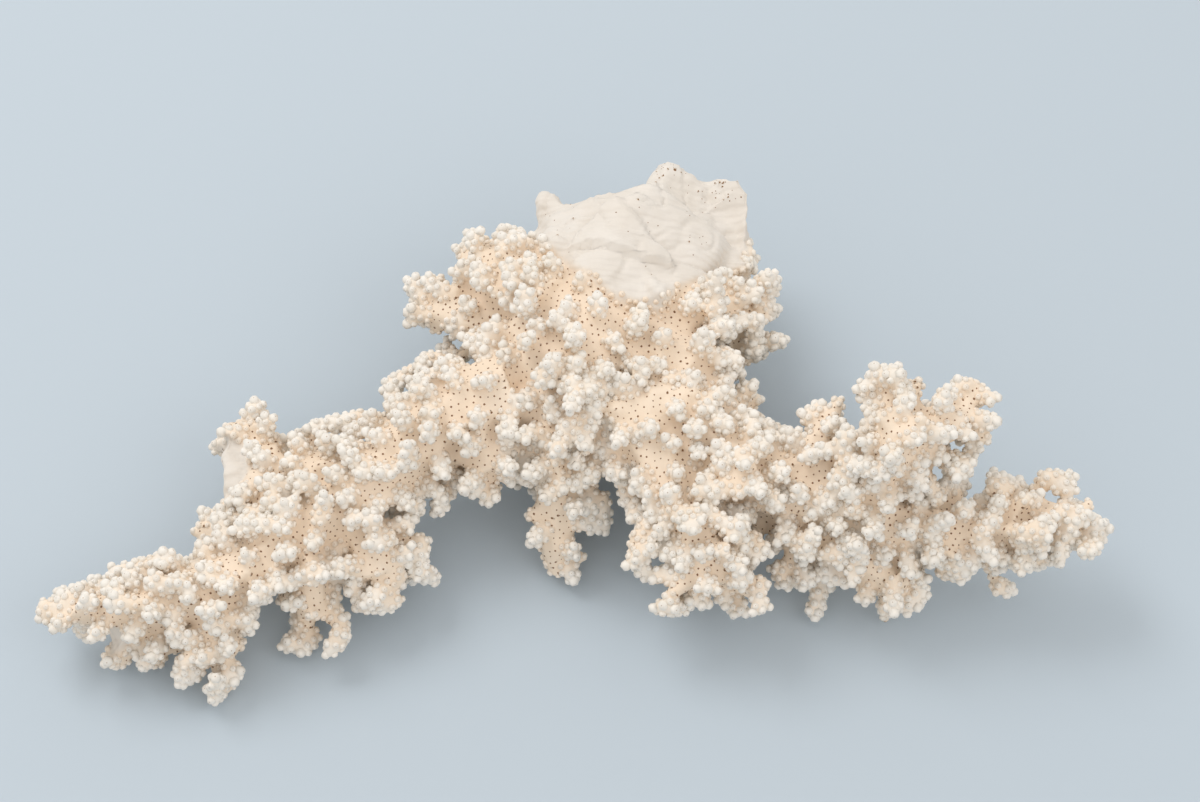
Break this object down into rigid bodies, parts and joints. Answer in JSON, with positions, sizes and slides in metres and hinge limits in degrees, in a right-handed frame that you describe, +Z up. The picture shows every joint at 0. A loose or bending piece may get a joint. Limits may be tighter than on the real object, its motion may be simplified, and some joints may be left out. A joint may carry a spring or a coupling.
{
  "type": "branching coral",
  "caption": "Bleached branching coral skeleton lying on its side: a smooth holdfast, a broad trunk and long limbs set with short blunt fingers.",
  "frame": {"origin": "centre of the bounding box in X and Y, on the surface that the coral lies on", "axes": "+Z up from the surface it lies on, X along the two long arms with left_arm_end towards -X and right_arm_end towards +X, +Y towards the holdfast"},
  "size_m": [0.4084, 0.205, 0.0933],
  "materials": {
    "cup_skeleton": "matt porous aragonite, cream between the fingers and white at their tips",
    "smooth_skeleton": "matt smooth encrusting aragonite, off-white"
  },
  "bodies": {
    "root": {"trunk": "cup_skeleton", "holdfast": "smooth_skeleton", "trunk_fringe": "cup_skeleton", "centre_branch": "cup_skeleton", "upper_left_branch": "cup_skeleton", "upper_left_plate": "cup_skeleton", "right_fan": "cup_skeleton", "right_lower_fan": "cup_skeleton", "right_shoulder_branch": "cup_skeleton", "left_arm": "cup_skeleton", "left_inner_branch": "cup_skeleton", "left_upper_branch": "cup_skeleton", "left_crown": "cup_skeleton", "left_finger_branch": "cup_skeleton", "left_middle_branch": "cup_skeleton", "left_lower_branch": "cup_skeleton", "left_drop_branch": "cup_skeleton", "left_arm_end": "cup_skeleton", "right_front_branch": "cup_skeleton", "right_rosette": "cup_skeleton", "right_arm": "cup_skeleton", "right_arm_end": "cup_skeleton", "right_middle_branch": "cup_skeleton", "right_lower_branch": "cup_skeleton", "right_rising_branch": "cup_skeleton", "right_crown": "cup_skeleton", "right_back_branch": "cup_skeleton"}
  },
  "joints": []
}
